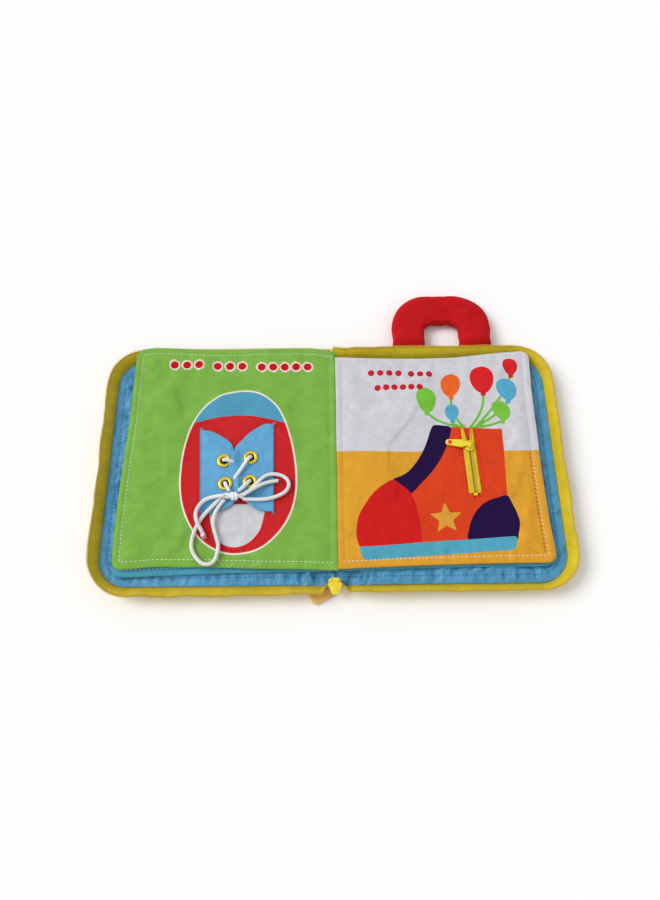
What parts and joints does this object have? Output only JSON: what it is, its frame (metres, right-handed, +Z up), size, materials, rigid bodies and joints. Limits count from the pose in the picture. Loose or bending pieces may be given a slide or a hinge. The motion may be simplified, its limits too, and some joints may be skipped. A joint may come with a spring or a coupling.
{
  "type": "cloth activity book",
  "caption": "Padded cloth baby book lying open, with quilted leaves, lace-up shoe page, zipped boot page, stuffed handle and a half zip round each cover.",
  "frame": {"origin": "middle of the underside of the spine, on the surface the open book lies on", "axes": "+X to the boot page, +Y to the edge with the handle, +Z up off the surface"},
  "size_m": [0.4112, 0.2912, 0.0244],
  "materials": {
    "outer_cloth": "woven cotton",
    "lining": "plain nylon taffeta",
    "foam": "soft foam sheet",
    "zip_tape": "woven polyester tape",
    "zip_coil": "nylon coil",
    "tape_end": "folded woven tape",
    "slider_plastic": "moulded and coloured through",
    "rivet": "moulded",
    "handle_cloth": "woven cotton",
    "wadding": "loose polyester wadding",
    "white_cloth": "woven cotton",
    "teal_cloth": "woven cotton",
    "green_cloth": "printed woven cotton",
    "ochre_cloth": "printed woven cotton",
    "flap_cloth": "woven cotton",
    "eyelet_brass": "lacquered",
    "lace": "round braid"
  },
  "bodies": {
    "spine": {"spine_outer": "outer_cloth", "spine_foam": "foam", "spine_lining": "lining", "zip_near_end_tape": "zip_tape", "zip_near_end_teeth": "zip_coil", "zip_far_end_tape": "zip_tape", "zip_far_end_teeth": "zip_coil", "zip_end_tab": "tape_end"},
    "left_cover": {"left_cover_outer": "outer_cloth", "left_cover_foam": "foam", "left_cover_lining": "lining", "left_zip_tape": "zip_tape", "left_zip_teeth": "zip_coil"},
    "right_cover": {"right_cover_outer": "outer_cloth", "right_cover_foam": "foam", "right_cover_lining": "lining", "right_zip_tape": "zip_tape", "right_zip_teeth": "zip_coil"},
    "handle": {"handle_sleeve": "handle_cloth", "handle_stuffing": "wadding"},
    "left_binding": {"left_hinge_tape": "lining"},
    "right_binding": {"right_hinge_tape": "lining"},
    "leaf_1": {"leaf_1_lower_cloth": "white_cloth", "leaf_1_wadding": "wadding", "leaf_1_upper_cloth": "teal_cloth"},
    "leaf_2": {"leaf_2_lower_cloth": "white_cloth", "leaf_2_wadding": "wadding", "leaf_2_upper_cloth": "green_cloth", "left_lace_flap": "flap_cloth", "right_lace_flap": "flap_cloth", "upper_left_eyelet": "eyelet_brass", "upper_right_eyelet": "eyelet_brass", "lower_left_eyelet": "eyelet_brass", "lower_right_eyelet": "eyelet_brass", "lace_upper_right": "lace", "lace_upper_left": "lace", "lace_lower_left": "lace", "lace_lower_right": "lace", "lace_knot": "lace", "lace_right_loop": "lace", "lace_right_end": "lace", "lace_left_loop": "lace", "lace_left_end": "lace", "lace_end_knot": "lace"},
    "leaf_3": {"leaf_3_lower_cloth": "white_cloth", "leaf_3_wadding": "wadding", "leaf_3_upper_cloth": "ochre_cloth", "boot_zip_left_tape": "zip_tape", "boot_zip_right_tape": "zip_tape", "boot_zip_left_teeth": "zip_coil", "boot_zip_right_teeth": "zip_coil", "boot_zip_stop": "slider_plastic"},
    "leaf_4": {"leaf_4_lower_cloth": "white_cloth", "leaf_4_wadding": "wadding", "leaf_4_upper_cloth": "teal_cloth"},
    "main_slider": {"main_slider": "slider_plastic"},
    "main_pull": {"main_pull": "slider_plastic"},
    "boot_slider": {"boot_slider": "slider_plastic"},
    "boot_pull": {"boot_pull": "slider_plastic", "boot_pull_rivet": "rivet"}
  },
  "joints": [
    {"name": "left_cover_fold", "type": "hinge", "parent": "spine", "child": "left_cover", "pos_m": [-0.014, 0, 0.0008], "axis": [0, -1, 0], "range_deg": [-86, 0], "deforming": ["left_zip_tape", "left_zip_teeth"]},
    {"name": "right_cover_fold", "type": "hinge", "parent": "spine", "child": "right_cover", "pos_m": [0.014, 0, 0.0008], "axis": [0, 1, 0], "range_deg": [-86, 0], "deforming": ["right_zip_tape", "right_zip_teeth"]},
    {"name": "left_binding_fold", "type": "hinge", "parent": "spine", "child": "left_binding", "pos_m": [-0.0043, 0, 0.0105], "axis": [0, -1, 0], "range_deg": [-86, 0]},
    {"name": "right_binding_fold", "type": "hinge", "parent": "spine", "child": "right_binding", "pos_m": [0.0043, 0, 0.0105], "axis": [0, 1, 0], "range_deg": [-86, 0]},
    {"name": "leaf_1_turn", "type": "hinge", "parent": "left_binding", "child": "leaf_1", "pos_m": [0, 0, 0.02], "axis": [0, 1, 0], "range_deg": [0, 180]},
    {"name": "leaf_2_turn", "type": "hinge", "parent": "leaf_1", "child": "leaf_2", "pos_m": [0, 0, 0.02], "axis": [0, 1, 0], "range_deg": [0, 180]},
    {"name": "leaf_4_turn", "type": "hinge", "parent": "right_binding", "child": "leaf_4", "pos_m": [0, 0, 0.02], "axis": [0, -1, 0], "range_deg": [0, 180]},
    {"name": "leaf_3_turn", "type": "hinge", "parent": "leaf_4", "child": "leaf_3", "pos_m": [0, 0, 0.02], "axis": [0, -1, 0], "range_deg": [0, 180]},
    {"name": "handle_lift", "type": "hinge", "parent": "right_cover", "child": "handle", "pos_m": [0.104, 0.1055, 0.0012], "axis": [1, 0, 0], "range_deg": [-80, 12]},
    {"name": "main_slider_run", "type": "slide", "parent": "spine", "child": "main_slider", "axis": [1, 0, 0], "range_m": [0, 0.16]},
    {"name": "main_pull_flip", "type": "hinge", "parent": "main_slider", "child": "main_pull", "pos_m": [0, -0.10232, 0.01155], "axis": [-1, 0, 0], "range_deg": [0, 105]},
    {"name": "boot_slider_run", "type": "slide", "parent": "leaf_3", "child": "boot_slider", "axis": [-0.0401, 0.9992, 0], "range_m": [-0.038, 0.012], "deforming": ["boot_zip_left_tape", "boot_zip_right_tape", "boot_zip_left_teeth", "boot_zip_right_teeth"]},
    {"name": "boot_pull_flip", "type": "hinge", "parent": "boot_slider", "child": "boot_pull", "pos_m": [0.1186, 0.0126, 0.0194], "axis": [0.1736, 0.9848, 0], "range_deg": [0, 170]}
  ],
  "couplings": [
    {"joint": "left_binding_fold", "follows": "left_cover_fold", "ratio": 1},
    {"joint": "right_binding_fold", "follows": "right_cover_fold", "ratio": 1}
  ]
}
